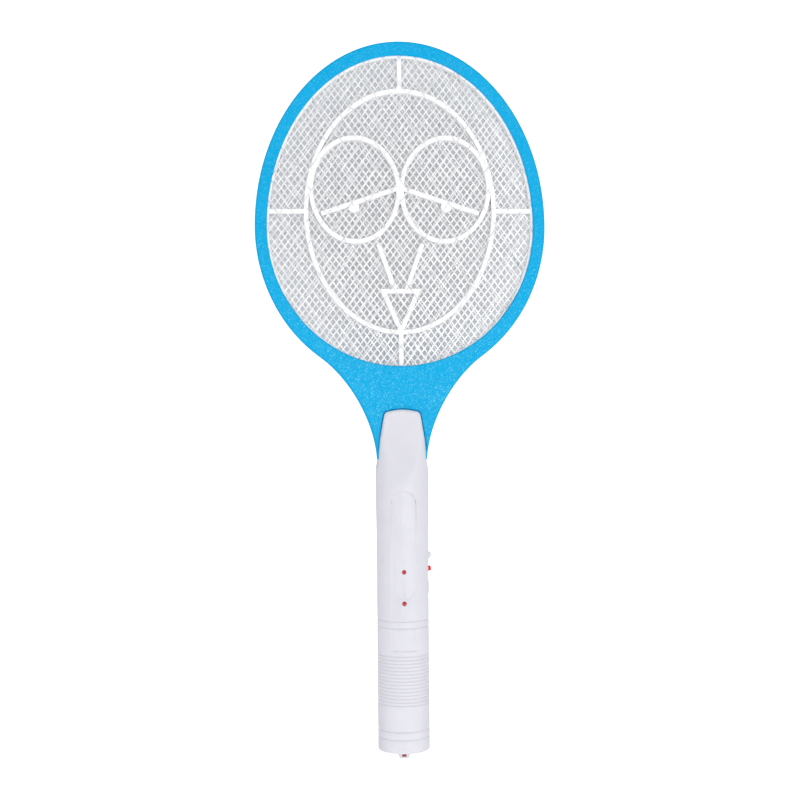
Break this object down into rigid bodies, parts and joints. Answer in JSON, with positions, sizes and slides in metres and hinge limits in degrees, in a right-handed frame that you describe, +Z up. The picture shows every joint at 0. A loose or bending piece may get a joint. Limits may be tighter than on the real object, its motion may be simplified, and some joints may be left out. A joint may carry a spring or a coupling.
{
  "type": "electric fly swatter",
  "caption": "Bat-shaped rechargeable fly swatter: round gridded head with a ribbed drawing, slim handle, push button, slide switch, lamp and slide-out plug.",
  "frame": {"origin": "on the handle's axis, where the straight side of the butt cap begins", "axes": "+Z up the bat from butt to head, +X to its right seen from the front, -Y out of its front"},
  "size_m": [0.1904, 0.0365, 0.4709],
  "materials": {
    "frame_blue": "fine leather grain, satin",
    "spacer_white": "smooth, slightly glossy",
    "grid_metal": "bright expanded sheet",
    "shell_lavender": "satin gloss",
    "screw_steel": "zinc plated",
    "contact_brass": "plain, lightly tarnished",
    "pin_nickel": "nickel plated, worn",
    "insert_red": "matt",
    "button_red": "glossy",
    "led_red": "tinted epoxy, glossy",
    "led_clear": "clear epoxy, glossy",
    "board_green": "solder mask, satin",
    "ferrite": "dull sintered ferrite",
    "coil_tape": "winding tape",
    "film_red": "dipped epoxy",
    "part_black": "moulded epoxy",
    "resistor_tan": "lacquered",
    "switch_metal": "pressed sheet",
    "battery_grey": "moulded case",
    "wire_red": "PVC sleeve",
    "wire_black": "PVC sleeve"
  },
  "bodies": {
    "bat": {"front_frame": "frame_blue", "rear_frame": "frame_blue", "frame_screws": "screw_steel", "front_grid": "grid_metal", "centre_grid": "grid_metal", "rear_grid": "grid_metal", "front_spacer": "spacer_white", "rear_spacer": "spacer_white", "grid_link": "contact_brass", "handle_front_shell": "shell_lavender", "handle_rear_shell": "shell_lavender", "handle_screws": "screw_steel", "butt_cap": "shell_lavender", "strap_plug": "insert_red", "circuit_board": "board_green", "switch_board": "board_green", "transformer_core": "ferrite", "transformer_coil": "coil_tape", "storage_capacitor": "film_red", "oscillator_transistor": "part_black", "rectifier_diodes": "part_black", "resistors": "resistor_tan", "charge_led": "led_red", "working_led": "led_red", "lamp_led": "led_clear", "lamp_hood": "shell_lavender", "push_switch": "part_black", "slide_switch": "switch_metal", "battery": "battery_grey", "plug_contacts": "contact_brass", "high_voltage_wires": "wire_red", "battery_wires": "wire_black"},
    "zap_button": {"zap_button": "button_red"},
    "mode_slider": {"mode_slider": "shell_lavender", "switch_lever": "part_black"},
    "plug": {"plug_carrier": "shell_lavender", "plug_pins": "pin_nickel"}
  },
  "joints": [
    {"name": "zap_button_press", "type": "slide", "parent": "bat", "child": "zap_button", "axis": [-1, 0, 0], "range_m": [0, 0.0012], "stiffness_N_per_m": 600, "springref_m": -0.001},
    {"name": "mode_slide", "type": "slide", "parent": "bat", "child": "mode_slider", "axis": [0, 0, 1], "range_m": [-0.0025, 0.0025]},
    {"name": "plug_slide", "type": "slide", "parent": "bat", "child": "plug", "axis": [0, 0, -1], "range_m": [0, 0.019]}
  ]
}
